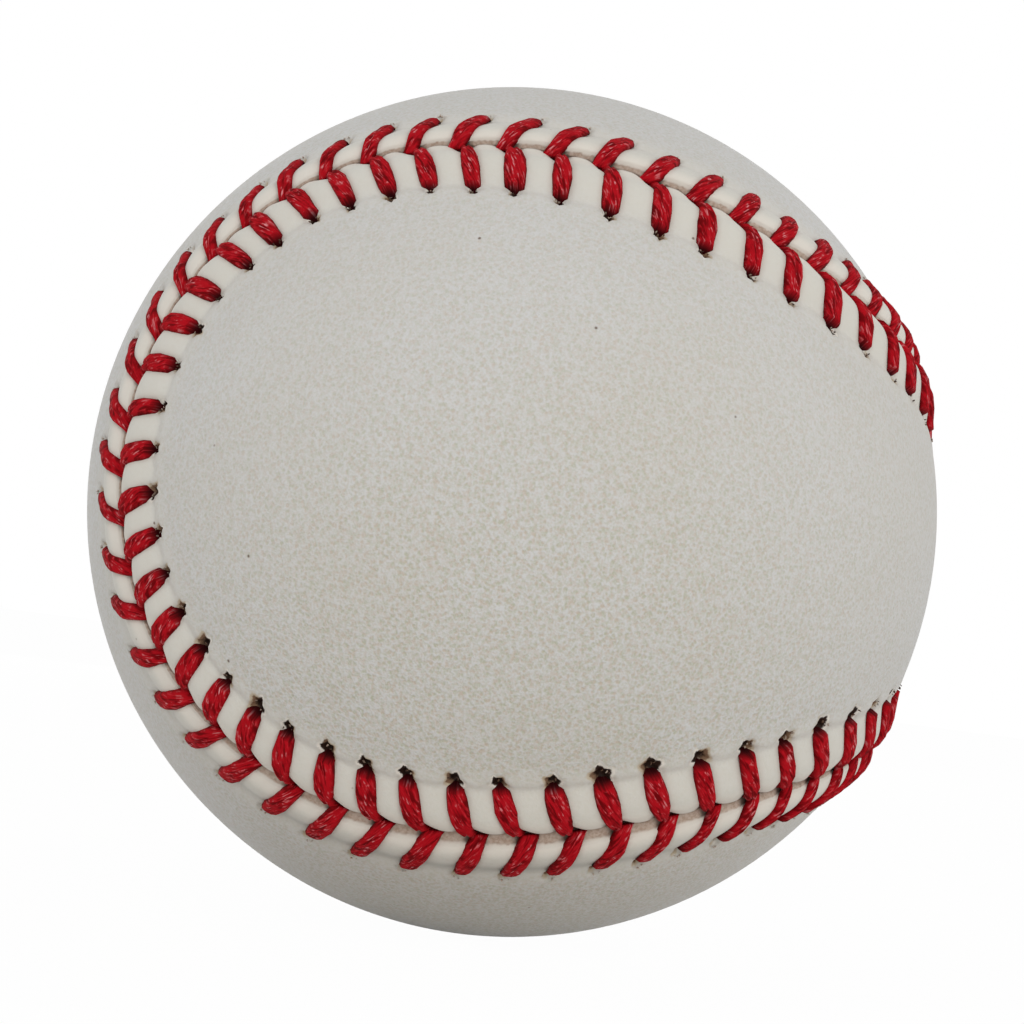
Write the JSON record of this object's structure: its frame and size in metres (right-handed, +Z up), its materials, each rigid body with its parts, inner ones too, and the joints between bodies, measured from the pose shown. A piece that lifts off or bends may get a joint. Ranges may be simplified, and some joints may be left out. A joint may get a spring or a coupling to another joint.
{
  "type": "baseball",
  "caption": "Leather-covered ball with a raised red-stitched seam between two figure-eight panels, wound yarn inside and a cushioned cork core.",
  "frame": {"origin": "centre of the ball", "axes": "+X through the neck of the front panel, -Y through the centre of the lobe that the picture shows, +Z up through the centre of a lobe of the back panel; the cover repeats itself at a half turn about X"},
  "size_m": [0.074, 0.074, 0.074],
  "materials": {
    "cork": "composition cork, rough and speckled",
    "black_rubber": "moulded black rubber, matt",
    "red_rubber": "moulded red rubber, matt",
    "cement": "thin dried rubber cement, slightly glossy",
    "grey_wool": "tightly wound grey wool yarn",
    "white_wool": "tightly wound white wool yarn",
    "cotton_yarn": "fine white cotton blend finishing yarn",
    "leather": "white alum-tanned cowhide, fine pebbled grain, satin",
    "waxed_thread": "red waxed cotton thread, doubled, slightly glossy"
  },
  "bodies": {
    "root": {"cork_core": "cork", "black_rubber_shell_upper": "black_rubber", "black_rubber_shell_lower": "black_rubber", "red_rubber_washer_upper": "red_rubber", "red_rubber_washer_lower": "red_rubber", "red_rubber_jacket": "red_rubber", "core_cement": "cement", "first_winding_grey_wool": "grey_wool", "second_winding_white_wool": "white_wool", "third_winding_grey_wool": "grey_wool", "finishing_winding_cotton": "cotton_yarn", "cover_adhesive": "cement", "cover_panel_front": "leather", "cover_panel_back": "leather", "stitches_front_panel": "waxed_thread", "stitches_back_panel": "waxed_thread"}
  },
  "joints": []
}
